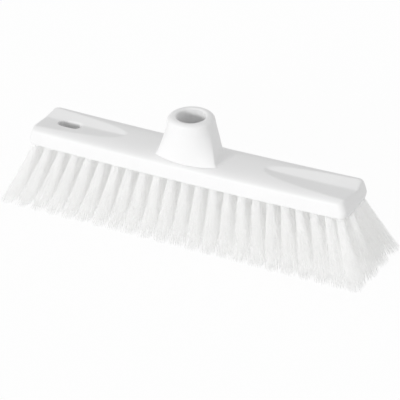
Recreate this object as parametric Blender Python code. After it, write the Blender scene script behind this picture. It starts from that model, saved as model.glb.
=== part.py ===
"""Head of an indoor broom.

A moulded plastic block carries a stick socket on top, a finger valley at each end and a hang hole
in the left valley. Its underside has a seat, filled by slices of backing. Each slice carries a
column of bristle tufts, which fan out towards the ends and to both sides and stand on the floor.
Metres, +Z up, floor at z = 0, +X along the block.
"""

import math
import random

import bmesh
import bpy
from mathutils import Matrix, Vector

# Block
BLOCK_LENGTH = 0.296
BLOCK_WIDTH = 0.046
UNDERSIDE_HEIGHT = 0.0515  # from the floor to the block's underside, at mid length
EDGE_HEIGHT = 0.0115  # upright part of the sides
DOME_HEIGHT = 0.0058  # of the top over the upright part, at its middle
DOME_POWER = 2.4  # 2 is an ellipse, and more is squarer
ARCH_RISE = 0.0016  # how far the ends lie above the middle
CORNER_RADIUS = 0.005
END_BULGE = 0.0012  # how far the ends bow out past their corners
END_WAIST_HEIGHT = 0.006  # where the ends stand out furthest
END_DRAFT = 0.0014  # how far they lean in on their way down to the underside
END_LEAN = 0.0045  # and on their way up
END_EDGE_LENGTH = 0.0013  # rounded edge between the top and the ends
END_EDGE_DROP = 0.0014

# Stick socket: heights are from the block's underside
SOCKET_LEAN = math.radians(4)  # forwards, towards -Y
SOCKET_TOP_HEIGHT = 0.052
SOCKET_FOOT_HEIGHT = 0.008  # where it starts, inside the block
FOOT_HALF_LENGTH = 0.032
FOOT_BACK = 0.0216
FOOT_FRONT = 0.0222
FOOT_CORNER = (0.0292, 0.013)  # its front corners, from the middle along the block and forwards
CREASE_HEIGHT = 0.017  # where its flare runs out onto the top of the block
CREASE_BACK = 0.0205
CREASE_FRONT = 0.0216
ANKLE_HEIGHT = 0.0181  # where the flare starts
ANKLE_HALF_LENGTH = 0.0232
ANKLE_BACK = 0.0199
ANKLE_FRONT = 0.0213
ANKLE_CORNER = (0.0281, 0.0127)
ROOT_HEIGHT = 0.023
ROOT_HALF_LENGTH = 0.0224
ROOT_BACK = 0.0194
ROOT_FRONT = 0.0206
ROOT_CORNER = (0.0262, 0.0118)
MIDDLE_HEIGHT = 0.0358
MIDDLE_HALF_LENGTH = 0.0213
MIDDLE_BACK = 0.0187
MIDDLE_FRONT = 0.0193
MIDDLE_CORNER = (0.0222, 0.0073)
NECK_HALF_LENGTH = 0.0196
NECK_HALF_DEPTH = 0.0186
NECK_CORNER = (0.0192, 0.0036)
CHAMFER_HEIGHT = 0.0022
RIM_RADIUS = 0.0163
BORE_MOUTH_RADIUS = 0.0121
BORE_FLOOR_RADIUS = 0.0117
BORE_FLOOR_HEIGHT = 0.010

# Finger valleys and hang hole
VALLEY_LENGTH = 0.084  # from its rounded start to the end of the block
VALLEY_HALF_WIDTH = 0.0175
VALLEY_DEPTH = 0.0047
VALLEY_FOLD_SHARE = 0.26  # how far behind the middle its fold lies, as a share of its half width
VALLEY_LIFT = 0.0003  # how far the rims of its cutter lie above the block
HANG_HOLE_FROM_END = 0.0283  # from its centre to the end of the block
HANG_HOLE_LENGTH = 0.0205
HANG_HOLE_WIDTH = 0.0115
HANG_HOLE_WALL = 0.0016  # collar left round the hole where the seat is cut away

# Seat for the backing slices
SEAT_WALL = 0.0022
SEAT_END_WALL = 0.0014
SEAT_CORNER_RADIUS = 0.0035
BACKING_THICKNESS = 0.003
SEAT_CLEARANCE = 0.0003

# Tufts
TUFT_TO_SEAT_END = 0.0032  # least distance from a tuft's centre to the edge of the seat
COLUMN_PITCH = 0.0129
ROW_PITCH = 0.0108
TUFT_ROOT_RADIUS = 0.0019  # from a tuft's centre to its outer strands at the root
TIP_COLUMN_PITCH = 0.01462
TIP_ROW_PITCH = 0.0212
TUFT_TIP_HALF_LENGTH = 0.0045
TUFT_TIP_HALF_WIDTH = 0.0068
TIP_WANDER = 0.0007
STRAND_ROOT_RADIUS = 0.0008
STRAND_TIP_RADIUS = 0.0017
STRAND_SIDES = 4
FLAT_CUT = 0.0005  # how much of the tips the floor plane cuts off

# Shared
CUT_OVERRUN = 0.002
SMOOTH_ANGLE = math.radians(32)
RANDOM_SEED = 7

# Shares of a tuft's spread, in the order centre and four corners
STRAND_SHARES = ((0, 0), (1, 1), (-1, 1), (-1, -1), (1, -1))

HALF_LENGTH = BLOCK_LENGTH / 2
HALF_WIDTH = BLOCK_WIDTH / 2
SEAT_HALF_LENGTH = HALF_LENGTH - END_DRAFT - SEAT_END_WALL
SEAT_HALF_WIDTH = HALF_WIDTH - SEAT_WALL
SEAT_DEPTH = BACKING_THICKNESS + SEAT_CLEARANCE
COLLAR_HALF_WIDTH = HANG_HOLE_WIDTH / 2 + HANG_HOLE_WALL
VALLEY_NOSE = HALF_LENGTH - VALLEY_LENGTH
HANG_HOLE_CENTRE = HALF_LENGTH - HANG_HOLE_FROM_END

# As many columns as the seat holds, one of them at its middle, and as many rows
COLUMNS = 2 * int((SEAT_HALF_LENGTH - TUFT_TO_SEAT_END) / COLUMN_PITCH) + 1
ROWS = int(2 * (SEAT_HALF_WIDTH - TUFT_TO_SEAT_END) / ROW_PITCH) + 1


def clear_scene():
    for obj in list(bpy.data.objects):
        bpy.data.objects.remove(obj, do_unlink=True)


def new_collection(name):
    found = bpy.data.collections.new(name)
    bpy.context.scene.collection.children.link(found)
    return found


def new_object(name, bm, collection):
    bmesh.ops.recalc_face_normals(bm, faces=bm.faces)
    mesh = bpy.data.meshes.new(name)
    bm.to_mesh(mesh)
    bm.free()
    obj = bpy.data.objects.new(name, mesh)
    collection.objects.link(obj)
    return obj


def new_cutter(name, bm, collection):
    obj = new_object(name, bm, collection)
    obj.hide_render = True
    obj.display_type = "WIRE"
    return obj


def combine(obj, other, operation):
    modifier = obj.modifiers.new(other.name, "BOOLEAN")
    modifier.operation = operation
    modifier.solver = "EXACT"
    modifier.object = other


def keep_result(obj):
    """Replaces the object's mesh by what its modifiers make of it, shaded smooth."""
    bpy.context.view_layer.update()
    graph = bpy.context.evaluated_depsgraph_get()
    mesh = bpy.data.meshes.new_from_object(obj.evaluated_get(graph))
    obj.modifiers.clear()
    obj.data = mesh
    mesh.shade_smooth()
    mesh.set_sharp_from_angle(angle=SMOOTH_ANGLE)


def plastic(name, colour, roughness):
    material = bpy.data.materials.new(name)
    material.use_nodes = True
    shader = material.node_tree.nodes["Principled BSDF"]
    shader.inputs["Base Color"].default_value = (*colour, 1)
    shader.inputs["Roughness"].default_value = roughness
    shader.inputs["Metallic"].default_value = 0
    return material


def arch(x):
    """Height gained by the block at x over its middle."""
    return ARCH_RISE * (x / HALF_LENGTH) ** 2


def rounded_half_width(x, half_length, half_width, radius):
    """Half width at x of a rectangle with rounded corners."""
    into_corner = abs(x) - (half_length - radius)
    if into_corner <= 0:
        return half_width
    return half_width - radius + math.sqrt(max(radius**2 - into_corner**2, 0))


def stations(start, end, spans, half_length, radius, steps):
    """Places along x from start to end: even spans, and closer ones inside a rounded corner."""
    places = {start + (end - start) * i / spans for i in range(spans + 1)}
    for i in range(steps + 1):
        corner = half_length - radius + radius * math.sin(math.pi / 2 * i / steps)
        places |= {side * corner for side in (-1, 1)}
    least = radius * (1 - math.cos(math.pi / 2 / steps)) / 2
    kept = []
    for x in sorted(place for place in places if start <= place <= end):
        if not kept or x - kept[-1] > least:
            kept.append(x)
    kept[-1] = end
    return kept


def slab(xs, shares, half_width, top, bottom, bulge=0):
    """A closed body between two surfaces, drawn at shares of the half width at each x.

    The ends bulge by drawing x in towards the long sides.
    """
    bm = bmesh.new()
    layers = []
    for surface in (top, bottom):
        rows = []
        for x in xs:
            ys = [share * half_width(x) for share in shares]
            pulled = [x - bulge * x / HALF_LENGTH * (y / HALF_WIDTH) ** 2 for y in ys]
            rows.append([bm.verts.new((px, y, surface(x, y))) for px, y in zip(pulled, ys)])
        layers.append(rows)
    upper, lower = layers
    for rows in layers:
        for near, far in zip(rows, rows[1:]):
            for k in range(len(shares) - 1):
                bm.faces.new((near[k], near[k + 1], far[k + 1], far[k]))
    for k in (0, -1):
        for i in range(len(xs) - 1):
            bm.faces.new((upper[i][k], upper[i + 1][k], lower[i + 1][k], lower[i][k]))
    for i in (0, -1):
        for k in range(len(shares) - 1):
            bm.faces.new((upper[i][k], upper[i][k + 1], lower[i][k + 1], lower[i][k]))
    return bm


def loft(rings):
    """A closed body through rings that have equally many points, with flat ends."""
    bm = bmesh.new()
    loops = [[bm.verts.new(point) for point in ring] for ring in rings]
    for near, far in zip(loops, loops[1:]):
        for k in range(len(near)):
            after = (k + 1) % len(near)
            bm.faces.new((near[k], near[after], far[after], far[k]))
    bm.faces.new(loops[0])
    bm.faces.new(loops[-1])
    return bm


def block_half_width(x):
    return rounded_half_width(x, HALF_LENGTH, HALF_WIDTH, CORNER_RADIUS)


def block_top(x, y):
    """Height of the domed top over the underside, with its rounded end edges."""
    share = min(abs(y) / block_half_width(x), 1)
    dome = DOME_HEIGHT * (1 - share**DOME_POWER) ** (1 / DOME_POWER)
    into_edge = max(abs(x) - HALF_LENGTH + END_EDGE_LENGTH, 0) / END_EDGE_LENGTH
    end_drop = END_EDGE_DROP * (1 - math.sqrt(max(1 - into_edge**2, 0)))
    return arch(x) + EDGE_HEIGHT + dome - end_drop


def end_inset(z):
    """How far the ends stand back at a height over the underside."""
    full_height = EDGE_HEIGHT + DOME_HEIGHT + ARCH_RISE
    if z < END_WAIST_HEIGHT:
        return END_DRAFT * (1 - z / END_WAIST_HEIGHT)
    return END_LEAN * (z - END_WAIST_HEIGHT) / (full_height - END_WAIST_HEIGHT)


def block_body():
    """Drawn across its width at even turns of the dome, so closer together at its sides."""
    steps = 18
    shares = [math.sin(math.pi * (i / steps - 1 / 2)) for i in range(steps + 1)]
    xs = stations(-HALF_LENGTH, HALF_LENGTH, 20, HALF_LENGTH, CORNER_RADIUS, 7)
    bm = slab(xs, shares, block_half_width, block_top, lambda x, y: arch(x), END_BULGE)
    geometry = bm.verts[:] + bm.edges[:] + bm.faces[:]
    bmesh.ops.bisect_plane(bm, geom=geometry, plane_co=(0, 0, END_WAIST_HEIGHT), plane_no=(0, 0, 1))
    for vert in bm.verts:
        vert.co.x *= 1 - end_inset(vert.co.z) / HALF_LENGTH
    return bm


def socket_ring(z, corner, front, side, back, squareness, roundness):
    """Outline of the socket at one height: a bowed front between two corners, and a round back.

    Squareness is the power of the oval behind the corners. The corners stand out of that oval, and
    the sides sweep in from them to it. Roundness is the power of the front's bow.
    """
    front_steps, back_steps, sweep_angle = 18, 34, math.radians(45)
    corner_x, corner_y = corner
    points = []
    for i in range(front_steps):
        angle = math.pi * i / front_steps
        bow = (front - corner_y) * math.sin(angle) ** roundness
        points.append(Vector((-corner_x * math.cos(angle), -corner_y - bow, z)))
    start = -math.atan2(corner_y, corner_x)
    corner_out = math.hypot(corner_x, corner_y) / oval_radius(start, side, back, squareness)
    for i in range(back_steps):
        angle = start + (math.pi - 2 * start) * i / back_steps
        past_corner = min(angle - start, math.pi - start - angle)
        flare = max(1 - past_corner / sweep_angle, 0) ** 2
        radius = oval_radius(angle, side, back, squareness) * (1 + (corner_out - 1) * flare)
        points.append(Vector((radius * math.cos(angle), radius * math.sin(angle), z)))
    return points


def oval_radius(angle, half_length, half_depth, squareness):
    along = abs(math.cos(angle) / half_length) ** squareness
    across = abs(math.sin(angle) / half_depth) ** squareness
    return (along + across) ** (-1 / squareness)


def lean(points, share=1):
    """Leans points forwards with the socket, or part of the way, about the middle of its foot."""
    pivot = Vector((0, 0, SOCKET_FOOT_HEIGHT))
    turn = Matrix.Rotation(SOCKET_LEAN, 3, "X")
    return [point.lerp(pivot + turn @ (point - pivot), share) for point in points]


def socket_body():
    """Widens from the rim down to a foot that flares out onto the block."""
    root_lean_share = 0.5
    neck_height = SOCKET_TOP_HEIGHT - CHAMFER_HEIGHT
    foot = socket_ring(
        SOCKET_FOOT_HEIGHT, FOOT_CORNER, FOOT_FRONT, FOOT_HALF_LENGTH, FOOT_BACK, 4, 2
    )
    crease = socket_ring(
        CREASE_HEIGHT, FOOT_CORNER, CREASE_FRONT, FOOT_HALF_LENGTH, CREASE_BACK, 4, 2
    )
    ankle = socket_ring(
        ANKLE_HEIGHT, ANKLE_CORNER, ANKLE_FRONT, ANKLE_HALF_LENGTH, ANKLE_BACK, 2.8, 2
    )
    root = socket_ring(
        ROOT_HEIGHT, ROOT_CORNER, ROOT_FRONT, ROOT_HALF_LENGTH, ROOT_BACK, 2.6, 1.9
    )
    middle = socket_ring(
        MIDDLE_HEIGHT, MIDDLE_CORNER, MIDDLE_FRONT, MIDDLE_HALF_LENGTH, MIDDLE_BACK, 2.3, 1.4
    )
    neck = socket_ring(
        neck_height, NECK_CORNER, NECK_HALF_DEPTH, NECK_HALF_LENGTH, NECK_HALF_DEPTH, 2, 1
    )
    rim = socket_ring(
        SOCKET_TOP_HEIGHT, (RIM_RADIUS, 0), RIM_RADIUS, RIM_RADIUS, RIM_RADIUS, 2, 1
    )
    return loft([foot, crease, ankle, lean(root, root_lean_share), lean(middle), lean(neck), lean(rim)])


def bore_cutter():
    depth = SOCKET_TOP_HEIGHT - BORE_FLOOR_HEIGHT
    widening = (BORE_MOUTH_RADIUS - BORE_FLOOR_RADIUS) / depth
    length = depth + CUT_OVERRUN
    bm = bmesh.new()
    bmesh.ops.create_cone(
        bm,
        cap_ends=True,
        segments=48,
        radius1=BORE_FLOOR_RADIUS,
        radius2=BORE_FLOOR_RADIUS + widening * length,
        depth=length,
        matrix=Matrix.Translation((0, 0, BORE_FLOOR_HEIGHT + length / 2)),
    )
    for vert, place in zip(bm.verts, lean([vert.co.copy() for vert in bm.verts])):
        vert.co = place
    return bm


def valley_half_width(x):
    """Opens fast behind the nose, then runs almost straight to the end."""
    opening_power, least_share = 0.38, 0.06
    along = max((abs(x) - VALLEY_NOSE) / (HALF_LENGTH - VALLEY_NOSE), 0)
    return VALLEY_HALF_WIDTH * max(along**opening_power, least_share)


def valley_floor(x, y):
    """A valley with a fold along it, whose depth grows with its width."""
    slope_power = 1.1
    opening = valley_half_width(x) / VALLEY_HALF_WIDTH
    before_edge = min(abs(x), HALF_LENGTH - END_EDGE_LENGTH)
    rim = block_top(before_edge, valley_half_width(x)) + VALLEY_LIFT
    fold = block_top(before_edge, 0) + VALLEY_LIFT - (VALLEY_DEPTH + VALLEY_LIFT) * opening
    past_fold = y / valley_half_width(x) - VALLEY_FOLD_SHARE
    side = 1 if past_fold > 0 else -1
    share = abs(past_fold) / (1 - side * VALLEY_FOLD_SHARE)
    return fold + (rim - fold) * share**slope_power


def valley_cutter(side):
    """Covers one valley, from its nose out past the end of the block."""
    spans = 16
    reach = HALF_LENGTH + CUT_OVERRUN - VALLEY_NOSE
    xs = sorted(side * (VALLEY_NOSE + reach * (i / spans) ** 2) for i in range(spans + 1))
    half_spans = 6
    fold = VALLEY_FOLD_SHARE
    shares = [-1 + (1 + fold) * i / half_spans for i in range(half_spans)]
    shares += [fold + (1 - fold) * i / half_spans for i in range(half_spans + 1)]
    high = block_top(HALF_LENGTH - END_EDGE_LENGTH, 0) + CUT_OVERRUN
    return slab(xs, shares, valley_half_width, lambda x, y: high, valley_floor)


def hang_hole_cutter():
    """An upright slot with round ends, along the block."""
    steps = 16
    radius = HANG_HOLE_WIDTH / 2
    straight = HANG_HOLE_LENGTH / 2 - radius
    low, high = -CUT_OVERRUN, EDGE_HEIGHT + DOME_HEIGHT + ARCH_RISE + CUT_OVERRUN
    rings = []
    for z in (low, high):
        ring = []
        for turn, centre in ((-math.pi / 2, straight), (math.pi / 2, -straight)):
            for i in range(steps + 1):
                angle = turn + math.pi * i / steps
                x = centre + radius * math.cos(angle) - HANG_HOLE_CENTRE
                ring.append(Vector((x, radius * math.sin(angle), z)))
        rings.append(ring)
    return loft(rings)


def seat_half_width(x):
    return rounded_half_width(x, SEAT_HALF_LENGTH, SEAT_HALF_WIDTH, SEAT_CORNER_RADIUS)


def column_edges():
    """Where one column's backing slice ends and the next one starts."""
    edges = [(i - COLUMNS / 2) * COLUMN_PITCH for i in range(COLUMNS + 1)]
    edges[0] = -SEAT_HALF_LENGTH
    edges[-1] = SEAT_HALF_LENGTH
    return edges


def beside_hang_hole(left, right):
    """True for a column whose slice the hang hole's collar crosses."""
    reach = HANG_HOLE_LENGTH / 2 + HANG_HOLE_WALL
    return left < -HANG_HOLE_CENTRE + reach and right > -HANG_HOLE_CENTRE - reach


def collar_span():
    """The stretch of the seat that is left uncut between the split columns."""
    crossed = [pair for pair in zip(column_edges(), column_edges()[1:]) if beside_hang_hole(*pair)]
    return crossed[0][0], crossed[-1][1]


def seat_cutters():
    """The seat for the backing, and the piece of it that stays solid round the hang hole."""
    corner_steps = 5
    xs = sorted(set(column_edges()[1:-1]) | set(seat_end_stations(corner_steps)))
    seat = slab(
        xs,
        (-1, 1),
        seat_half_width,
        lambda x, y: arch(x) + SEAT_DEPTH,
        lambda x, y: arch(x) - CUT_OVERRUN,
    )
    left, right = collar_span()
    share = COLLAR_HALF_WIDTH / SEAT_HALF_WIDTH
    collar = slab(
        [left, right],
        (-share, share),
        seat_half_width,
        lambda x, y: arch(x) + SEAT_DEPTH + CUT_OVERRUN,
        lambda x, y: arch(x) - 2 * CUT_OVERRUN,
    )
    return seat, collar


def seat_end_stations(steps):
    near = SEAT_HALF_LENGTH - SEAT_CORNER_RADIUS
    ends = [near + SEAT_CORNER_RADIUS * math.sin(math.pi / 2 * i / steps) for i in range(steps + 1)]
    return [-x for x in reversed(ends)] + ends


def make_block(parts, cutters):
    block = new_object("block", block_body(), parts)
    block.location.z = UNDERSIDE_HEIGHT
    seat_bm, collar_bm = seat_cutters()
    seat = new_cutter("seat_cut", seat_bm, cutters)
    collar = new_cutter("hang_hole_collar", collar_bm, cutters)
    socket = new_cutter("socket_form", socket_body(), cutters)
    bore = new_cutter("bore_cut", bore_cutter(), cutters)
    hole = new_cutter("hang_hole_cut", hang_hole_cutter(), cutters)
    valleys = [new_cutter(f"valley_cut_{side}", valley_cutter(side), cutters) for side in (-1, 1)]
    for cutter in (seat, collar, socket, bore, hole, *valleys):
        cutter.location = block.location
    combine(seat, collar, "DIFFERENCE")
    for valley in valleys:
        combine(block, valley, "DIFFERENCE")
    combine(block, socket, "UNION")
    for cutter in (bore, seat, hole):
        combine(block, cutter, "DIFFERENCE")
    keep_result(block)
    return block


def backing_slice(left, right, low_share, high_share):
    """A slice of backing between two column edges, over part of the seat's width."""
    corner_steps = 5
    start, end = left + SEAT_CLEARANCE / 2, right - SEAT_CLEARANCE / 2
    half_length = SEAT_HALF_LENGTH - SEAT_CLEARANCE
    half_width = SEAT_HALF_WIDTH - SEAT_CLEARANCE
    start, end = max(start, -half_length), min(end, half_length)
    xs = stations(start, end, 1, half_length, SEAT_CORNER_RADIUS, corner_steps)
    return slab(
        xs,
        (low_share, high_share),
        lambda x: rounded_half_width(x, half_length, half_width, SEAT_CORNER_RADIUS),
        lambda x, y: arch(x) + UNDERSIDE_HEIGHT + BACKING_THICKNESS,
        lambda x, y: arch(x) + UNDERSIDE_HEIGHT,
    )


def add_strand(bm, root, tip):
    """One straight bristle strand that widens from its root to its tip and runs on below the floor."""
    along = (tip - root).normalized()
    end = tip + along * FLAT_CUT
    turn = along.to_track_quat("Z", "Y").to_matrix().to_4x4()
    bmesh.ops.create_cone(
        bm,
        cap_ends=True,
        segments=STRAND_SIDES,
        radius1=STRAND_ROOT_RADIUS,
        radius2=STRAND_TIP_RADIUS,
        depth=(end - root).length,
        matrix=Matrix.Translation((root + end) / 2) @ turn,
    )


def add_tuft(bm, column, row, chance):
    """The strands of one tuft, from inside the backing down past the floor."""
    column_step = column - (COLUMNS - 1) / 2
    row_step = row - (ROWS - 1) / 2
    root_x, root_y = column_step * COLUMN_PITCH, row_step * ROW_PITCH
    tip_x, tip_y = column_step * TIP_COLUMN_PITCH, row_step * TIP_ROW_PITCH
    root_z = UNDERSIDE_HEIGHT + arch(root_x) + BACKING_THICKNESS / 2
    spread = TUFT_ROOT_RADIUS / math.sqrt(2)
    wander_x = 0 if column in (0, COLUMNS - 1) else TIP_WANDER
    wander_y = 0 if row in (0, ROWS - 1) else TIP_WANDER
    for share_x, share_y in STRAND_SHARES:
        root = Vector((root_x + share_x * spread, root_y + share_y * spread, root_z))
        tip = Vector(
            (
                tip_x + share_x * TUFT_TIP_HALF_LENGTH + chance.uniform(-1, 1) * wander_x,
                tip_y + share_y * TUFT_TIP_HALF_WIDTH + chance.uniform(-1, 1) * wander_y,
                0,
            )
        )
        add_strand(bm, root, tip)


def tufts(column, rows, chance):
    """The tufts of one column, cut flat at the floor."""
    bm = bmesh.new()
    for row in rows:
        add_tuft(bm, column, row, chance)
    geometry = bm.verts[:] + bm.edges[:] + bm.faces[:]
    bmesh.ops.bisect_plane(bm, geom=geometry, plane_co=(0, 0, 0), plane_no=(0, 0, -1), clear_outer=True)
    bmesh.ops.holes_fill(bm, edges=[edge for edge in bm.edges if edge.is_boundary])
    return bm


def make_column(name, column, rows, span, parts, cutters, chance):
    """A backing slice over a span of the seat's width, with the tufts that it carries."""
    left, right = column_edges()[column : column + 2]
    middle = (column - (COLUMNS - 1) / 2) * COLUMN_PITCH
    backing = backing_slice(left, right, *span)
    strands = tufts(column, rows, chance)
    for bm in (backing, strands):
        bmesh.ops.translate(bm, verts=bm.verts, vec=(-middle, 0, 0))
    node = new_object(name, backing, parts)
    helper = new_cutter(name + "_strands", strands, cutters)
    for obj in (node, helper):
        obj.location.x = middle
    combine(node, helper, "UNION")
    keep_result(node)
    return node


def make_columns(parts, cutters):
    """One node for each column of tufts, and two where the hang hole comes down between the rows."""
    chance = random.Random(RANDOM_SEED)
    every_row = range(ROWS)
    collar_share = (COLLAR_HALF_WIDTH + SEAT_CLEARANCE) / (SEAT_HALF_WIDTH - SEAT_CLEARANCE)
    edges = column_edges()
    nodes = []
    for column in range(COLUMNS):
        name = f"tuft_column_{column + 1:02d}"
        if beside_hang_hole(edges[column], edges[column + 1]):
            front, back = [every_row[0]], [every_row[-1]]
            halves = (("_front", front, -1, -collar_share), ("_back", back, collar_share, 1))
        else:
            halves = (("", every_row, -1, 1),)
        for suffix, rows, low_share, high_share in halves:
            span = (low_share, high_share)
            nodes.append(make_column(name + suffix, column, rows, span, parts, cutters, chance))
    return nodes


def main():
    clear_scene()
    parts = new_collection("indoor_broom_head")
    cutters = new_collection("cutters")
    base = bpy.data.objects.new("broom_head", None)
    parts.objects.link(base)
    block = make_block(parts, cutters)
    columns = make_columns(parts, cutters)
    block.data.materials.append(plastic("block_polypropylene", (0.82, 0.83, 0.83), 0.42))
    bristle = plastic("bristle_polyester", (0.80, 0.81, 0.80), 0.5)
    for column in columns:
        column.data.materials.append(bristle)
    for obj in (block, *columns):
        obj.parent = base
    for obj in bpy.data.objects:
        obj.select_set(False)
    print(f"{len(columns)} bristle nodes")


main()
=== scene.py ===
# Indoor broom head: moulded block with a stick socket, and tufts of fine crimped bristle.
# Metres, +Z up, the tips stand on the floor at z = 0.
import math

import bmesh
import bpy
import numpy as np
from mathutils import Matrix, Vector


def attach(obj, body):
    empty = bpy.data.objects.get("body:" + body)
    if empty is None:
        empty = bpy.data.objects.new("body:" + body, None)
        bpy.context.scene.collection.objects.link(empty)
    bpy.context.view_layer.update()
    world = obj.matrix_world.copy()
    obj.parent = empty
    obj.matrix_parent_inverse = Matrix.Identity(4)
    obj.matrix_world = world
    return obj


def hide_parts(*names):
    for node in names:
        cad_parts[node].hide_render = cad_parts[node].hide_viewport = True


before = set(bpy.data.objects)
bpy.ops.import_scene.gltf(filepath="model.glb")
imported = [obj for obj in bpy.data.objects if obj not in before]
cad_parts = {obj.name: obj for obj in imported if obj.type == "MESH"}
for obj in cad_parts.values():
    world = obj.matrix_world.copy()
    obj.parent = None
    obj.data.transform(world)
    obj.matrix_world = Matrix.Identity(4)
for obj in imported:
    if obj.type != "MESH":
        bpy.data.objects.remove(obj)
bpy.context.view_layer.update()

mm = 0.001


def newMesh(name, bm):
    # with its faces turned outwards
    bmesh.ops.recalc_face_normals(bm, faces=bm.faces)
    mesh = bpy.data.meshes.new(name)
    bm.to_mesh(mesh)
    bm.free()
    return mesh


def newPiece(name, mesh):
    piece = bpy.data.objects.new(name, mesh)
    bpy.context.scene.collection.objects.link(piece)
    return piece


def newMaterial(name):
    material = bpy.data.materials.new(name)
    material.use_nodes = True
    nodes, links = material.node_tree.nodes, material.node_tree.links
    return material, nodes, links, nodes["Principled BSDF"]


def noiseOn(nodes, links, vector, scale, detail=3, roughness=0.5):
    noise = nodes.new("ShaderNodeTexNoise")
    noise.inputs["Scale"].default_value = scale
    noise.inputs["Detail"].default_value = detail
    noise.inputs["Roughness"].default_value = roughness
    links.new(vector, noise.inputs["Vector"])
    return noise.outputs["Fac"]


def rampOf(nodes, links, value, stops):
    # stops are (place, grey or colour)
    ramp = nodes.new("ShaderNodeValToRGB")
    elements = ramp.color_ramp.elements
    while len(elements) < len(stops):
        elements.new(0.5)
    for element, (place, colour) in zip(elements, stops):
        element.position = place
        element.color = (*(colour if isinstance(colour, tuple) else (colour,) * 3), 1)
    links.new(value, ramp.inputs["Fac"])
    return ramp.outputs["Color"]


def mapRange(nodes, links, value, low, high, newLow, newHigh):
    node = nodes.new("ShaderNodeMapRange")
    for socket, number in zip(node.inputs[1:5], (low, high, newLow, newHigh)):
        socket.default_value = number
    links.new(value, node.inputs["Value"])
    return node.outputs["Result"]


def bumpOf(nodes, links, height, strength, distance, below=None):
    bump = nodes.new("ShaderNodeBump")
    bump.inputs["Strength"].default_value = strength
    bump.inputs["Distance"].default_value = distance
    links.new(height, bump.inputs["Height"])
    if below is not None:
        links.new(below, bump.inputs["Normal"])
    return bump.outputs["Normal"]


def attributeOf(nodes, name):
    attribute = nodes.new("ShaderNodeAttribute")
    attribute.attribute_name = name
    return attribute.outputs["Fac"]


def largerOf(nodes, links, first, second):
    node = nodes.new("ShaderNodeMath")
    node.operation = "MAXIMUM"
    links.new(first, node.inputs[0])
    links.new(second, node.inputs[1])
    return node.outputs[0]


def mixShaders(nodes, links, first, second):
    # the share of the second is then set or linked on the node's first socket
    mix = nodes.new("ShaderNodeMixShader")
    links.new(first, mix.inputs[1])
    links.new(second, mix.inputs[2])
    return mix


plasticLook = {
    "pale": (0.885, 0.885, 0.885),
    "shade": (0.865, 0.865, 0.866),
    "inside": (0.3, 0.3, 0.3),    # painted shade: darker walls in the bore and the hang hole
    "patchScale": 28,
    "roughness": (0.48, 0.58),
    "refraction": 1.49,
    "flowScale": 60,              # slight unevenness from the mould
    "flowBump": (0.06, 0.4 * mm),
    "grainScale": 1500,
    "grainBump": (0.12, 0.03 * mm),
}


def makePlastic():
    material, nodes, links, shader = newMaterial("satinWhitePlastic")
    place = nodes.new("ShaderNodeTexCoord").outputs["Object"]
    patches = noiseOn(nodes, links, place, plasticLook["patchScale"], 4)
    colour = rampOf(nodes, links, patches, [(0.3, plasticLook["shade"]), (0.7, plasticLook["pale"])])
    # painted shade: the inside colour darkens the bore and the hang hole's wall where the inside attribute
    # is set
    mix = nodes.new("ShaderNodeMix")
    mix.data_type = "RGBA"
    links.new(attributeOf(nodes, "inside"), mix.inputs["Factor"])
    links.new(colour, mix.inputs[6])
    mix.inputs[7].default_value = (*plasticLook["inside"], 1)
    links.new(mix.outputs[2], shader.inputs["Base Color"])
    roughness = mapRange(nodes, links, patches, 0.25, 0.75, *plasticLook["roughness"])
    links.new(roughness, shader.inputs["Roughness"])
    flow = noiseOn(nodes, links, place, plasticLook["flowScale"], 2)
    soft = bumpOf(nodes, links, flow, *plasticLook["flowBump"])
    grain = noiseOn(nodes, links, place, plasticLook["grainScale"], 2)
    fine = bumpOf(nodes, links, grain, *plasticLook["grainBump"], soft)
    links.new(fine, shader.inputs["Normal"])
    shader.inputs["IOR"].default_value = plasticLook["refraction"]
    return material


bristleLook = {
    "root": (0.985, 0.985, 0.985),
    "tip": (0.995, 0.995, 0.99),
    "dull": (0.9, 0.9, 0.9),      # the dullest filaments are tinted with this
    "tint": 0.6,                  # and this much of it
    "roughness": 0.45,
    "refraction": 1.5,
    "glow": (0.145, 0.055),       # painted light: the filaments glow white, this much at their root and at their tip
    "throughLight": 0.35,         # share of the light that comes through a filament
    "clearness": 0.12,            # how clear a filament looks
    "letsLightPast": 0.8,         # and how clear it is to the light on its way into a tuft
}


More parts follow.
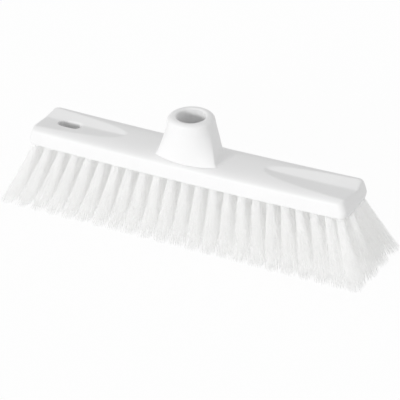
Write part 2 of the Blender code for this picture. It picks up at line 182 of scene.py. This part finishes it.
def makeBristle():
    # tone differs from filament to filament, along runs from root to tip
    material, nodes, links, shader = newMaterial("crimpedBristle")
    tone, along = attributeOf(nodes, "tone"), attributeOf(nodes, "along")
    lengthwise = rampOf(nodes, links, along, [(0.0, bristleLook["root"]), (0.35, bristleLook["tip"])])
    each = rampOf(nodes, links, tone, [(0.0, bristleLook["dull"]), (0.5, (1.0, 1.0, 1.0))])
    mix = nodes.new("ShaderNodeMix")
    mix.data_type = "RGBA"
    mix.blend_type = "MULTIPLY"
    mix.inputs["Factor"].default_value = bristleLook["tint"]
    links.new(lengthwise, mix.inputs[6])
    links.new(each, mix.inputs[7])
    links.new(mix.outputs[2], shader.inputs["Base Color"])
    shader.inputs["Roughness"].default_value = bristleLook["roughness"]
    shader.inputs["IOR"].default_value = bristleLook["refraction"]
    # painted light: a white glow in the filaments, stronger at the root than at the tip
    shader.inputs["Emission Color"].default_value = (1, 1, 1, 1)
    glow = mapRange(nodes, links, along, 0, 1, *bristleLook["glow"])
    links.new(glow, shader.inputs["Emission Strength"])
    through = nodes.new("ShaderNodeBsdfTranslucent")
    links.new(mix.outputs[2], through.inputs["Color"])
    milky = mixShaders(nodes, links, shader.outputs[0], through.outputs[0])
    milky.inputs[0].default_value = bristleLook["throughLight"]
    path = nodes.new("ShaderNodeLightPath")
    goesPast = largerOf(nodes, links, path.outputs["Is Shadow Ray"], path.outputs["Is Diffuse Ray"])
    low, high = bristleLook["clearness"], bristleLook["letsLightPast"]
    clear = nodes.new("ShaderNodeBsdfTransparent")
    whole = mixShaders(nodes, links, milky.outputs[0], clear.outputs[0])
    links.new(mapRange(nodes, links, goesPast, 0, 1, low, high), whole.inputs[0])
    links.new(whole.outputs[0], nodes["Material Output"].inputs["Surface"])
    return material


plastic = makePlastic()
bristle = makeBristle()
print("materials made")


blockSizes = {
    "length": 296 * mm,
    "width": 46 * mm,
    "underside": 51.5 * mm,       # height of the underside over the floor, at mid length
    "edgeHeight": 11.5 * mm,
    "domeHeight": 5.8 * mm,
    "domePower": 2.4,
    "archRise": 1.6 * mm,
    "cornerRadius": 5 * mm,
    "endBulge": 1.2 * mm,
    "endWaist": 6 * mm,           # height where the ends stand out furthest
    "endDraft": 1.4 * mm,         # they lean in below it
    "endDraftPower": 1.4,
    "endLean": 4.5 * mm,          # and above it
    "endLeanPower": 1.2,
    "endEdgeLength": 1.3 * mm,
    "endEdgeDrop": 1.4 * mm,
    "lowerEdgeRadius": 0.7 * mm,
    "valleyNose": 67 * mm,        # from the middle of the block
    "valleyOpening": 0.34,        # power of the distance from the nose by which a valley widens
    "valleyLeastOpening": 0.06,
    "valleyHalfWidth": 17.5 * mm,
    "valleyDepth": 4.7 * mm,
    "valleyFold": 0.26,           # how far behind the middle its fold lies, as a share of its half width
    "valleyFoldRound": 0.1,
    "valleyLift": 0.3 * mm,       # its slopes start this far over the dome
    "valleySoftness": 0.4 * mm,   # rounding of its edge
    "holeCentre": 119.7 * mm,
    "holeLength": 20.5 * mm,
    "holeWidth": 11.5 * mm,
    "holeLip": 0.9 * mm,
    "holeShadeTop": 10 * mm,       # its wall has painted shade up to here
}
halfLength = blockSizes["length"] / 2
halfWidth = blockSizes["width"] / 2


def arch(x):
    return blockSizes["archRise"] * (x / halfLength) ** 2


def plainTop(x, y, widthHere):
    # domed top over the underside
    power = blockSizes["domePower"]
    share = min(abs(y) / widthHere, 1)
    return arch(x) + blockSizes["edgeHeight"] + blockSizes["domeHeight"] * (1 - share**power) ** (1 / power)


def widthAt(x):
    radius = blockSizes["cornerRadius"]
    into = max(abs(x) - (halfLength - radius), 0)
    return halfWidth - radius + math.sqrt(max(radius**2 - into**2, 0))


def smoothLower(a, b, softness):
    # the lower of two heights, with the change between them rounded off
    h = max(softness - abs(a - b), 0) / softness
    return min(a, b) - h * h * softness / 4


def valleyFloor(x, y):
    # two slopes that meet in a fold, deeper where the valley is wider
    nose, lift, soft = blockSizes["valleyNose"], blockSizes["valleyLift"], blockSizes["valleyFoldRound"]
    along = max((abs(x) - nose) / (halfLength - nose), 0)
    opening = max(along ** blockSizes["valleyOpening"], blockSizes["valleyLeastOpening"])
    widthHere = blockSizes["valleyHalfWidth"] * opening
    beforeEdge = min(abs(x), halfLength - blockSizes["endEdgeLength"])
    rim = plainTop(beforeEdge, widthHere, widthAt(beforeEdge)) + lift
    fold = plainTop(beforeEdge, 0, halfWidth) + lift - (blockSizes["valleyDepth"] + lift) * opening
    pastFold = y / widthHere - blockSizes["valleyFold"]
    slopeWidth = 1 - blockSizes["valleyFold"] if pastFold > 0 else 1 + blockSizes["valleyFold"]
    share = abs(pastFold) / slopeWidth
    return fold + (rim - fold) * (math.hypot(min(share, 3), soft) - soft)


def endDrop(x):
    # rounded edge between the top and the ends
    into = max(abs(x) - halfLength + blockSizes["endEdgeLength"], 0) / blockSizes["endEdgeLength"]
    return blockSizes["endEdgeDrop"] * (1 - math.sqrt(max(1 - into * into, 0)))


def holeDistance(x, y):
    # from the hang hole's outline, positive outside it
    radius = blockSizes["holeWidth"] / 2
    straight = blockSizes["holeLength"] / 2 - radius
    return math.hypot(max(abs(x + blockSizes["holeCentre"]) - straight, 0), y) - radius


def lipDrop(distance, radius):
    # how far a rounded edge falls at a distance from it
    inside = min(max(radius - distance, 0), radius)
    return radius - math.sqrt(radius**2 - inside**2)


def blockTop(x, y):
    widthHere = widthAt(x)
    top = plainTop(x, y, widthHere)
    if abs(x) > blockSizes["valleyNose"]:
        top = smoothLower(top, valleyFloor(x, y), blockSizes["valleySoftness"])
    return top - endDrop(x) - lipDrop(holeDistance(x, y), blockSizes["holeLip"])


def spacedPlaces(low, high, stepAt):
    # places from low to high, each a local step after the last
    places = [low]
    while places[-1] < high:
        places.append(places[-1] + stepAt(places[-1]))
    scale = (high - low) / (places[-1] - low)
    return [low + (place - low) * scale for place in places]


def stepAlong(x):
    # finest at the ends, fine round the hang hole
    if halfLength - abs(x) < 8 * mm:
        return (0.25 + 0.1 * (halfLength - abs(x)) / mm) * mm
    nearHole = abs(x + blockSizes["holeCentre"]) < blockSizes["holeLength"] / 2 + 2 * mm
    return (0.5 if nearHole else 1.5) * mm


def stepAcross(share):
    # finer towards the long sides
    toSide = (1 - abs(share)) * halfWidth
    return min(0.1 * mm + 0.12 * toSide, 0.55 * mm) / halfWidth


def subdivideAlong(bm, axis, cuts):
    # cuts every edge that runs along this axis
    edges = []
    for edge in bm.edges:
        along = edge.verts[1].co - edge.verts[0].co
        if abs(along[axis]) > 0.5 * along.length:
            edges.append(edge)
    bmesh.ops.subdivide_edges(bm, edges=edges, cuts=cuts, use_grid_fill=True)


def endInset(z):
    # how far the ends stand back at a height over the underside
    waist = blockSizes["endWaist"]
    if z < waist:
        return blockSizes["endDraft"] * (1 - z / waist) ** blockSizes["endDraftPower"]
    full = blockSizes["edgeHeight"] + blockSizes["domeHeight"] + blockSizes["archRise"]
    return blockSizes["endLean"] * ((z - waist) / (full - waist)) ** blockSizes["endLeanPower"]


def makeBlockBody():
    # a cube cut into a grid, whose points then go to their places on the moulding
    xs = spacedPlaces(-halfLength, halfLength, stepAlong)
    half = spacedPlaces(0, 1, stepAcross)
    shares = [-share for share in reversed(half[1:])] + half
    levels = [0, 0.15, 0.4, 0.7]             # mm over the underside, up the sides
    higher = [0.2, 0.4, 0.6, 0.8, 1]         # and shares of the rest
    bm = bmesh.new()
    bmesh.ops.create_cube(bm, size=2)
    counts = len(xs), len(shares), len(levels) + len(higher)
    for axis, count in enumerate(counts):
        subdivideAlong(bm, axis, count - 2)
    radius = blockSizes["lowerEdgeRadius"]
    for vert in bm.verts:
        i, j, k = [round((value + 1) / 2 * (count - 1)) for value, count in zip(vert.co, counts)]
        x, share = xs[i], shares[j]
        y = share * widthAt(x)
        tall = blockTop(x, y) - arch(x)
        inset = 0
        if k < len(levels):
            height = levels[k] * mm
            inset = lipDrop(height, radius)
        else:
            height = levels[-1] * mm + (tall - levels[-1] * mm) * higher[k - len(levels)]
        z = arch(x) + height
        pulled = x - x / halfLength * blockSizes["endBulge"] * (y / halfWidth) ** 2
        pulled *= 1 - (inset + endInset(z)) / halfLength
        vert.co = Vector((pulled, y * (1 - inset / halfWidth), z))
    return newMesh("blockBody", bm)


socketSizes = {
    "lean": math.radians(4),      # forwards
    "pivot": 8 * mm,
    # foot rings: height over the block's top, corner x, corner y, front, side, back, squareness, roundness
    "foot": [
        (-0.5, 28.4, 14.2, 18.2, 33.5, 21.6, 4.0, 1.3),
        (0.1, 28.3, 14.2, 18.4, 32.0, 21.2, 4.0, 1.3),
        (0.5, 28.3, 14.9, 19.7, 29.0, 20.8, 3.5, 1.3),
        (0.9, 28.0, 14.9, 20.3, 25.6, 20.3, 3.0, 1.3),
        (1.5, 27.6, 14.6, 20.2, 23.8, 19.95, 2.8, 1.3),
    ],
    # body rings: height over the underside, the same, and the share of the lean
    "body": [
        (20.0, 26.7, 13.7, 20.1, 22.9, 19.65, 2.7, 1.35, 0.25),
        (23.0, 25.8, 12.4, 20.0, 22.4, 19.4, 2.6, 1.4, 0.5),
        (29.5, 24.0, 9.7, 19.7, 21.85, 19.05, 2.45, 1.4, 0.8),
        (35.8, 22.2, 7.3, 19.3, 21.3, 18.7, 2.3, 1.3, 1),
        (42.0, 20.6, 5.4, 18.9, 20.55, 18.6, 2.13, 1.2, 1),
        (48.0, 19.45, 3.9, 18.7, 19.8, 18.6, 2.0, 1.0, 1),
    ],
    # the rim is level: height, half length, half depth
    "rim": [
        (50.5, 19.45, 18.4),
        (51.4, 18.75, 17.8),
        (52.1, 17.8, 17.0),
        (52.6, 16.8, 16.2),
        (52.9, 15.8, 15.3),
        (53.0, 14.8, 14.5),
    ],
    # the bore leans with the socket, its mouth is level: height, radius
    "bore": [(10, 11.7), (46, 12.05), (51.2, 12.1)],
    "mouth": [(52.2, 12.3), (52.7, 12.7), (52.95, 13.3), (53.0, 13.9), (55.0, 13.9)],
    # painted shade in the bore: from and to these heights, within this radius, at this strength
    "boreShadeFrom": 9.5 * mm,
    "boreShadeTo": 47 * mm,
    "boreShadeRadius": 12.4 * mm,
    "boreShadeStrength": 0.08,
    "rimCorner": (0.98, 0.2),     # a place on the rim's oval, as shares of its half length and depth
    "pointsAround": 128,
    "frontPoints": 50,
    "cornerFlare": math.radians(45),
    "cornerRounding": 3,          # times that each ring is smoothed
    "stepsBetween": 4,            # rings put in between each two of the foot and the body
}


def ovalRadius(angle, halfX, halfY, squareness):
    along = abs(math.cos(angle) / halfX) ** squareness
    across = abs(math.sin(angle) / halfY) ** squareness
    return (along + across) ** (-1 / squareness)


def socketRing(cornerX, cornerY, front, side, back, squareness, roundness):
    # a bowed front between two corners, hollow flanks and a round back
    frontSteps = socketSizes["frontPoints"]
    backSteps = socketSizes["pointsAround"] - frontSteps
    points = []
    for i in range(frontSteps):
        angle = math.pi * i / frontSteps
        bow = (front - cornerY) * math.sin(angle) ** roundness
        points.append([-cornerX * math.cos(angle), -cornerY - bow])
    start = -math.atan2(cornerY, cornerX)
    cornerOut = math.hypot(cornerX, cornerY) / ovalRadius(start, side, back, squareness)
    for i in range(backSteps):
        angle = start + (math.pi - 2 * start) * i / backSteps
        past = min(angle - start, math.pi - start - angle)
        flare = max(1 - past / socketSizes["cornerFlare"], 0) ** 2
        radius = ovalRadius(angle, side, back, squareness) * (1 + (cornerOut - 1) * flare)
        points.append([radius * math.cos(angle), radius * math.sin(angle)])
    ring = np.array(points) * mm
    for _ in range(socketSizes["cornerRounding"]):
        ring = 0.5 * ring + 0.25 * (np.roll(ring, 1, 0) + np.roll(ring, -1, 0))
    return ring


def leanPoint(point, share=1):
    # leans a point of the upright socket forwards, in full or in part
    pivot = Vector((0, 0, socketSizes["pivot"]))
    turned = pivot + Matrix.Rotation(socketSizes["lean"], 3, "X") @ (point - pivot)
    return point.lerp(turned, share)


def levelPoint(x, y, height):
    # a point beside the leaned axis, in a level ring
    return leanPoint(Vector((0, 0, height))) + Vector((x, y, 0))


def socketRings():
    rings = []
    for height, *outline in socketSizes["foot"]:
        ring = socketRing(*outline)
        rings.append([Vector((x, y, plainTop(x, y, halfWidth) + height * mm)) for x, y in ring])
    for height, *outline, share in socketSizes["body"]:
        rings.append([leanPoint(Vector((x, y, height * mm)), share) for x, y in socketRing(*outline)])
    cornerX, cornerY = socketSizes["rimCorner"]
    for height, halfX, halfY in socketSizes["rim"]:
        ring = socketRing(halfX * cornerX, halfY * cornerY, halfY, halfX, halfY, 2, 1)
        rings.append([levelPoint(x, y, height * mm) for x, y in ring])
    return np.array([[tuple(point) for point in ring] for ring in rings])


def smoothRings(rings, steps, smoothTo):
    # a curve through the rings, up to ring smoothTo, then the rings as they are
    filled = []
    for i in range(smoothTo):
        before, here, after, beyond = [rings[min(max(i + k, 0), smoothTo)] for k in (-1, 0, 1, 2)]
        for step in range(steps):
            t = step / steps
            square = 2 * before - 5 * here + 4 * after - beyond
            cube = 3 * here - before - 3 * after + beyond
            filled.append(0.5 * (2 * here + (after - before) * t + square * t**2 + cube * t**3))
    return filled + list(rings[smoothTo:])


def loftUp(bm, rings):
    # extrudes a circle's rim through the rings and caps both ends
    start = bmesh.ops.create_circle(bm, cap_ends=True, segments=len(rings[0]), radius=1)["verts"]
    loop = sorted(start, key=lambda vert: math.atan2(vert.co.y, vert.co.x) % (2 * math.pi))
    angles = [math.atan2(y, x) % (2 * math.pi) for x, y, _ in rings[0]]
    shift = angles.index(min(angles))
    rings = [np.roll(ring, -shift, axis=0) for ring in rings]
    for vert, place in zip(loop, rings[0]):
        vert.co = place
    for ring in rings[1:]:
        edges = [bm.edges.get((loop[k], loop[(k + 1) % len(loop)])) for k in range(len(loop))]
        made = bmesh.ops.extrude_edge_only(bm, edges=edges)["geom"]
        fresh = {item for item in made if isinstance(item, bmesh.types.BMVert)}
        step = []
        for vert in loop:
            joined = [edge.other_vert(vert) for edge in vert.link_edges]
            step.append(next(other for other in joined if other in fresh))
        loop = step
        for vert, place in zip(loop, ring):
            vert.co = place
    bmesh.ops.contextual_create(bm, geom=loop)


def makeSocketBody():
    # starts inside the block, so that the two join
    rings = socketRings()
    inside = rings[0].copy()
    inside[:, 2] = socketSizes["pivot"]
    bodyEnd = len(socketSizes["foot"]) + len(socketSizes["body"])
    rings = [inside] + smoothRings(rings, socketSizes["stepsBetween"], bodyEnd)
    bm = bmesh.new()
    loftUp(bm, rings)
    return newMesh("socketBody", bm)


def circlePoints(radius):
    angles = [2 * math.pi * k / 96 for k in range(96)]
    return [(radius * mm * math.cos(angle), radius * mm * math.sin(angle)) for angle in angles]


def makeBoreCutter():
    rings = []
    for height, radius in socketSizes["bore"]:
        rings.append([leanPoint(Vector((x, y, height * mm))) for x, y in circlePoints(radius)])
    for height, radius in socketSizes["mouth"]:
        rings.append([levelPoint(x, y, height * mm) for x, y in circlePoints(radius)])
    bm = bmesh.new()
    loftUp(bm, [np.array([tuple(point) for point in ring]) for ring in rings])
    return newMesh("boreCutter", bm)


def makeHoleCutter():
    # a cylinder cut down the middle, with its halves drawn apart
    radius = blockSizes["holeWidth"] / 2 + 0.02 * mm
    straight = blockSizes["holeLength"] / 2 - radius
    bm = bmesh.new()
    bmesh.ops.create_cone(bm, cap_ends=True, segments=72, radius1=radius, radius2=radius, depth=40 * mm)
    whole = bm.verts[:] + bm.edges[:] + bm.faces[:]
    bmesh.ops.bisect_plane(bm, geom=whole, plane_co=(0, 0, 0), plane_no=(1, 0, 0))
    for vert in bm.verts:
        if abs(vert.co.x) > 1e-7:
            vert.co.x += math.copysign(straight, vert.co.x)
        vert.co.x -= blockSizes["holeCentre"]
    return newMesh("holeCutter", bm)


tuftSizes = {
    "columns": 23,
    "rows": 4,
    "columnPitch": 12.9 * mm,
    "rowPitch": 10.8 * mm,
    "tipColumnPitch": 14.8 * mm,
    "tipRowPitch": 21.0 * mm,
    "holeRadius": 2.8 * mm,
    "holeTaper": 0.06,            # they are wider at their mouths by this share
    "holeDepth": 2.2 * mm,
    "rootDepth": 0.7,             # share of a hole's depth at which its filaments start
    "rootRadius": 2.65 * mm,
    "tipHalfLength": 6.9 * mm,
    "tipHalfWidth": 9.8 * mm,
    "filaments": 150,
    "clumps": 13,                 # filaments of one clump share their tone and keep together at the tips
    "clumpTone": (0.65, 0.35),    # how much of the tone is the clump's and how much the filament's own
    "clumpDrift": 0.05,           # scatter of the clumps' tips, as a share of the tuft's reach
    "filamentDrift": 0.035,
    "tipSquareness": 0.55,        # tufts are round at the root and squarer at the tips
    "outwardPower": 1.08,         # filaments bend outwards a little on their way down
    "rootThickness": 0.17 * mm,   # filament radius
    "tipThickness": 0.125 * mm,
    "crimp": 0.32 * mm,
    "crimpRange": (0.4, 1.3),
    "crimpLength": 8.5 * mm,
    "crimpLengthRange": (0.8, 1.25),
    "unevenTips": 0.3 * mm,
    "rings": 10,
    "seed": 11,
    # inner rows that stand aside for the hang hole: column, and how far from the middle
    "asideOfHole": {1: 8.4 * mm, 2: 10.2 * mm},
    "endStretch": 1.4,            # the back tufts of the end columns are wider across the block
    "cornerInset": 3.2 * mm,      # the front right corner's tuft stands further from the end
}


def columnX(column, pitch):
    return (column - (tuftSizes["columns"] - 1) / 2) * pitch


def rowY(row, pitch):
    return (row - (tuftSizes["rows"] - 1) / 2) * pitch


splitColumns = (1, 2, 3)          # these have a piece in front of the hang hole and one behind it


def atEnd(column):
    return column in (0, tuftSizes["columns"] - 1)


def cornerShift(column, row):
    return tuftSizes["cornerInset"] if (column, row) == (tuftSizes["columns"] - 1, 0) else 0


def rootPlace(column, row):
    x, y = columnX(column, tuftSizes["columnPitch"]), rowY(row, tuftSizes["rowPitch"])
    aside = tuftSizes["asideOfHole"].get(column, 0)
    return x - cornerShift(column, row), math.copysign(max(abs(y), aside), y)


def rootStretch(column, row):
    return tuftSizes["endStretch"] if atEnd(column) and row > 1 else 1


def makeTuftHoleCutter():
    bm = bmesh.new()
    radius, taper = tuftSizes["holeRadius"], tuftSizes["holeTaper"]
    for column in range(tuftSizes["columns"]):
        for row in range(tuftSizes["rows"]):
            x, y = rootPlace(column, row)
            stretch = Matrix.Diagonal((1, rootStretch(column, row), 1, 1))
            bmesh.ops.create_cone(
                bm, cap_ends=True, segments=20, radius1=radius * (1 + taper), radius2=radius * (1 - taper),
                depth=2 * tuftSizes["holeDepth"], matrix=Matrix.Translation((x, y, arch(x))) @ stretch,
            )
    return newMesh("tuftHoleCutter", bm)


def cutOrJoin(piece, mesh, operation):
    helper = newPiece("helper", mesh)
    modifier = piece.modifiers.new(operation, "BOOLEAN")
    modifier.operation = operation
    modifier.solver = "EXACT"
    modifier.object = helper
    bpy.context.view_layer.update()
    result = bpy.data.meshes.new_from_object(piece.evaluated_get(bpy.context.evaluated_depsgraph_get()))
    piece.modifiers.clear()
    piece.data = result
    bpy.data.objects.remove(helper)


def markPaintedShade(mesh):
    # painted shade in the recesses: full on the hang hole's wall, slight in the bore
    back = Matrix.Rotation(-socketSizes["lean"], 3, "X")
    pivot = Vector((0, 0, socketSizes["pivot"]))
    attribute = mesh.attributes.new("inside", "FLOAT", "POINT")
    for vert, item in zip(mesh.vertices, attribute.data):
        straight = pivot + back @ (vert.co - pivot)
        inBore = (math.hypot(straight.x, straight.y) < socketSizes["boreShadeRadius"]
                  and socketSizes["boreShadeFrom"] < straight.z < socketSizes["boreShadeTo"])
        onHoleWall = (abs(holeDistance(vert.co.x, vert.co.y)) < 0.2 * mm
                      and vert.co.z < blockSizes["holeShadeTop"])
        # the hang hole's wall gets full painted shade, the bore a little
        item.value = 1 if onHoleWall else socketSizes["boreShadeStrength"] if inBore else 0


def makeBlock():
    piece = newPiece("block_moulding", makeBlockBody())
    cutOrJoin(piece, makeSocketBody(), "UNION")
    cutOrJoin(piece, makeBoreCutter(), "DIFFERENCE")
    cutOrJoin(piece, makeHoleCutter(), "DIFFERENCE")
    cutOrJoin(piece, makeTuftHoleCutter(), "DIFFERENCE")
    markPaintedShade(piece.data)
    piece.data.transform(Matrix.Translation((0, 0, blockSizes["underside"])))
    piece.data.shade_smooth()
    piece.data.set_sharp_from_angle(angle=math.radians(38))
    piece.data.materials.append(plastic)
    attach(piece, "root")
    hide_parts("block")
    return piece


block = makeBlock()
print("block made:", len(block.data.polygons), "faces")


def makeFilamentRow(count):
    # count upright filaments of unit radius and length, side by side, doubled until there are enough
    apart = 10
    bm = bmesh.new()
    bmesh.ops.create_cone(bm, cap_ends=True, segments=3, radius1=1, radius2=1, depth=1)
    subdivideAlong(bm, 2, tuftSizes["rings"] - 2)
    bmesh.ops.translate(bm, verts=bm.verts, vec=(0, 0, 0.5))
    made = 1
    while made < count:
        copy = bmesh.ops.duplicate(bm, geom=bm.verts[:] + bm.edges[:] + bm.faces[:])["geom"]
        fresh = [item for item in copy if isinstance(item, bmesh.types.BMVert)]
        bmesh.ops.translate(bm, verts=fresh, vec=(apart * made, 0, 0))
        made *= 2
    spare = [vert for vert in bm.verts if vert.co.x > apart * (count - 0.5)]
    bmesh.ops.delete(bm, geom=spare, context="VERTS")
    mesh = newMesh("filamentRow", bm)
    places = readPoints(mesh)
    which = np.round(places[:, 0] / apart).astype(int)
    places[:, 0] -= which * apart
    return mesh, places, which


def readPoints(mesh):
    points = np.zeros(3 * len(mesh.vertices))
    mesh.vertices.foreach_get("co", points)
    return points.reshape(-1, 3)


def discPoints(count, rng):
    # evenly scattered over a disc
    k = np.arange(count) + 0.5
    radius = np.sqrt(k / count)
    angle = k * math.pi * (3 - math.sqrt(5)) + rng.uniform(0, 2 * math.pi)
    return np.stack([radius * np.cos(angle), radius * np.sin(angle)], 1)


def squarer(points, share):
    # pushes a disc's points part of the way out to a square's
    largest = np.maximum(np.abs(points).max(1, keepdims=True), 1e-9)
    out = np.hypot(points[:, :1], points[:, 1:]) / largest
    return points * (1 + (out - 1) * share)


def bendFilaments(column, row, places, which, rng):
    # where the points of a tuft's upright filaments go: fanned out, crimped, with uneven tips
    count = tuftSizes["filaments"]
    x, y = rootPlace(column, row)
    disc = discPoints(count, rng)
    root = disc * tuftSizes["rootRadius"] * (1, rootStretch(column, row)) + (x, y)
    clump = np.arange(count) % tuftSizes["clumps"]
    clumpDrift = rng.normal(0, tuftSizes["clumpDrift"], (tuftSizes["clumps"], 2))[clump]
    ownDrift = rng.normal(0, tuftSizes["filamentDrift"], disc.shape)
    spread = squarer(disc + (clumpDrift + ownDrift), tuftSizes["tipSquareness"])
    tip = spread * (tuftSizes["tipHalfLength"], tuftSizes["tipHalfWidth"])
    tip += (columnX(column, tuftSizes["tipColumnPitch"]), rowY(row, tuftSizes["tipRowPitch"]))
    tip[:, 0] -= cornerShift(column, row) / 2
    rootZ = blockSizes["underside"] + arch(x) + tuftSizes["holeDepth"] * tuftSizes["rootDepth"]
    tipZ = np.abs(rng.normal(0, tuftSizes["unevenTips"], count))
    phase = rng.uniform(0, 2 * math.pi, (count, 2))
    crimpLength = tuftSizes["crimpLength"] * rng.uniform(*tuftSizes["crimpLengthRange"], count)
    crimp = tuftSizes["crimp"] * rng.uniform(*tuftSizes["crimpRange"], count)
    clumpShare, ownShare = tuftSizes["clumpTone"]
    tone = clumpShare * rng.uniform(0, 1, tuftSizes["clumps"])[clump] + ownShare * rng.uniform(0, 1, count)
    down = 1 - places[:, 2]       # 0 at the root, 1 at the tip
    points = np.zeros_like(places)
    points[:, :2] = root[which] + (tip - root)[which] * down[:, None] ** tuftSizes["outwardPower"]
    points[:, 2] = rootZ + (tipZ[which] - rootZ) * down
    turn = 2 * math.pi * down * rootZ / crimpLength[which]
    size = crimp[which] * np.minimum(down * 4, 1)  # grows over the first quarter
    points[:, 0] += size * np.sin(turn + phase[which, 0])
    points[:, 1] += size * np.sin(turn * 1.1 + phase[which, 1])
    thickness = tuftSizes["rootThickness"] + (tuftSizes["tipThickness"] - tuftSizes["rootThickness"]) * down
    points[:, :2] += places[:, :2] * thickness[:, None]
    return points, tone[which], down


def makeTuftPiece(name, node, column, rows, filamentRow, rng):
    rowMesh, places, which = filamentRow
    mesh = rowMesh.copy()
    mesh.name = name
    points, tone, down = np.zeros_like(places), np.zeros(len(places)), np.zeros(len(places))
    for k, row in enumerate(rows):
        here = which // tuftSizes["filaments"] == k
        bent = bendFilaments(column, row, places[here], which[here] % tuftSizes["filaments"], rng)
        points[here], tone[here], down[here] = bent
    mesh.vertices.foreach_set("co", points.ravel())
    for label, values in (("tone", tone), ("along", down)):
        mesh.attributes.new(label, "FLOAT", "POINT").data.foreach_set("value", values)
    mesh.update()
    mesh.shade_smooth()
    mesh.materials.append(bristle)
    piece = newPiece(name, mesh)
    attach(piece, "root")
    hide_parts(node)
    return piece


def makeTufts():
    rng = np.random.default_rng(tuftSizes["seed"])
    rows = range(tuftSizes["rows"])
    half = len(rows) // 2
    filamentRows = {count: makeFilamentRow(count * tuftSizes["filaments"]) for count in (half, len(rows))}
    pieces = []
    for column in range(tuftSizes["columns"]):
        parts = [("", rows)]
        if column in splitColumns:
            parts = [("_front", rows[:half]), ("_back", rows[half:])]
        for ending, tuftRows in parts:
            ending = f"{column + 1:02d}{ending}"
            filamentRow = filamentRows[len(tuftRows)]
            names = f"filaments_{ending}", f"tuft_column_{ending}"
            pieces.append(makeTuftPiece(*names, column, tuftRows, filamentRow, rng))
    return pieces


tufts = makeTufts()
print("tufts made:", sum(len(piece.data.polygons) for piece in tufts), "faces")


studioLook = {
    "ambient": 0.69,
    "keyStrength": 1.27,
    "keyFrom": (-0.24, -0.93, 0.24),
    "keySoftness": math.radians(9),
    "floorHalfSize": 12,
    "floorColour": (0.95, 0.95, 0.95),
    "floorGlow": 0.95,            # share of plain white in the floor as seen, the rest has the shadow
    "diffuseBounces": 12,         # light goes deep into the white bristle
    "clearBounces": 48,
}


def showsBackground(nodes, links):
    # 1 for what the camera sees directly, or by way of gloss or glass
    path = nodes.new("ShaderNodeLightPath")
    seen = path.outputs["Is Camera Ray"]
    for ray in ("Is Glossy Ray", "Is Transmission Ray"):
        seen = largerOf(nodes, links, seen, path.outputs[ray])
    return seen


def makeWorld():
    world = bpy.data.worlds.new("studio")
    bpy.context.scene.world = world
    world.use_nodes = True
    nodes, links = world.node_tree.nodes, world.node_tree.links
    background = nodes["Background"]
    background.inputs["Color"].default_value = (1, 1, 1, 1)
    strength = mapRange(nodes, links, showsBackground(nodes, links), 0, 1, studioLook["ambient"], 1)
    links.new(strength, background.inputs["Strength"])


def makeFloor():
    bm = bmesh.new()
    bmesh.ops.create_grid(bm, x_segments=2, y_segments=2, size=studioLook["floorHalfSize"])
    floor = newPiece("studio_floor", newMesh("studio_floor", bm))
    floor.data.transform(Matrix.Translation((0, 0, -0.05 * mm)))
    material, nodes, links, shader = newMaterial("whiteFloor")
    shader.inputs["Base Color"].default_value = (*studioLook["floorColour"], 1)
    shader.inputs["Roughness"].default_value = 0.9
    shader.inputs["Specular IOR Level"].default_value = 0.1
    glow = nodes.new("ShaderNodeEmission")
    glow.inputs["Color"].default_value = (1, 1, 1, 1)
    share = nodes.new("ShaderNodeMath")
    share.operation = "MULTIPLY"
    share.inputs[1].default_value = studioLook["floorGlow"]
    links.new(showsBackground(nodes, links), share.inputs[0])
    mix = mixShaders(nodes, links, shader.outputs[0], glow.outputs[0])
    links.new(share.outputs[0], mix.inputs[0])
    links.new(mix.outputs[0], nodes["Material Output"].inputs["Surface"])
    floor.data.materials.append(material)


def makeKeyLight():
    lamp = bpy.data.lights.new("softKey", "SUN")
    lamp.energy = studioLook["keyStrength"]
    lamp.angle = studioLook["keySoftness"]
    key = bpy.data.objects.new("softKey", lamp)
    key.rotation_euler = Vector(studioLook["keyFrom"]).to_track_quat("Z", "Y").to_euler()
    bpy.context.scene.collection.objects.link(key)


cameraSetting = {
    "location": (0.823487, -1.507877, 1.045968),
    "turn": (59.2058, 1.3912, 27.6895),
    "lens": 216,
    "sensorWidth": 36,
    "farthest": 50,
}


def makeCamera():
    data = bpy.data.cameras.new("photoView")
    data.lens = cameraSetting["lens"]
    data.sensor_width = cameraSetting["sensorWidth"]
    data.clip_end = cameraSetting["farthest"]
    camera = bpy.data.objects.new("photoView", data)
    camera.location = cameraSetting["location"]
    camera.rotation_euler = [math.radians(angle) for angle in cameraSetting["turn"]]
    bpy.context.scene.collection.objects.link(camera)
    bpy.context.scene.camera = camera


makeWorld()
makeFloor()
makeKeyLight()
makeCamera()
scene = bpy.context.scene
scene.view_settings.view_transform = "Standard"
scene.cycles.diffuse_bounces = studioLook["diffuseBounces"]
scene.cycles.transparent_max_bounces = studioLook["clearBounces"]
print("studio made")

bpy.context.view_layer.update()
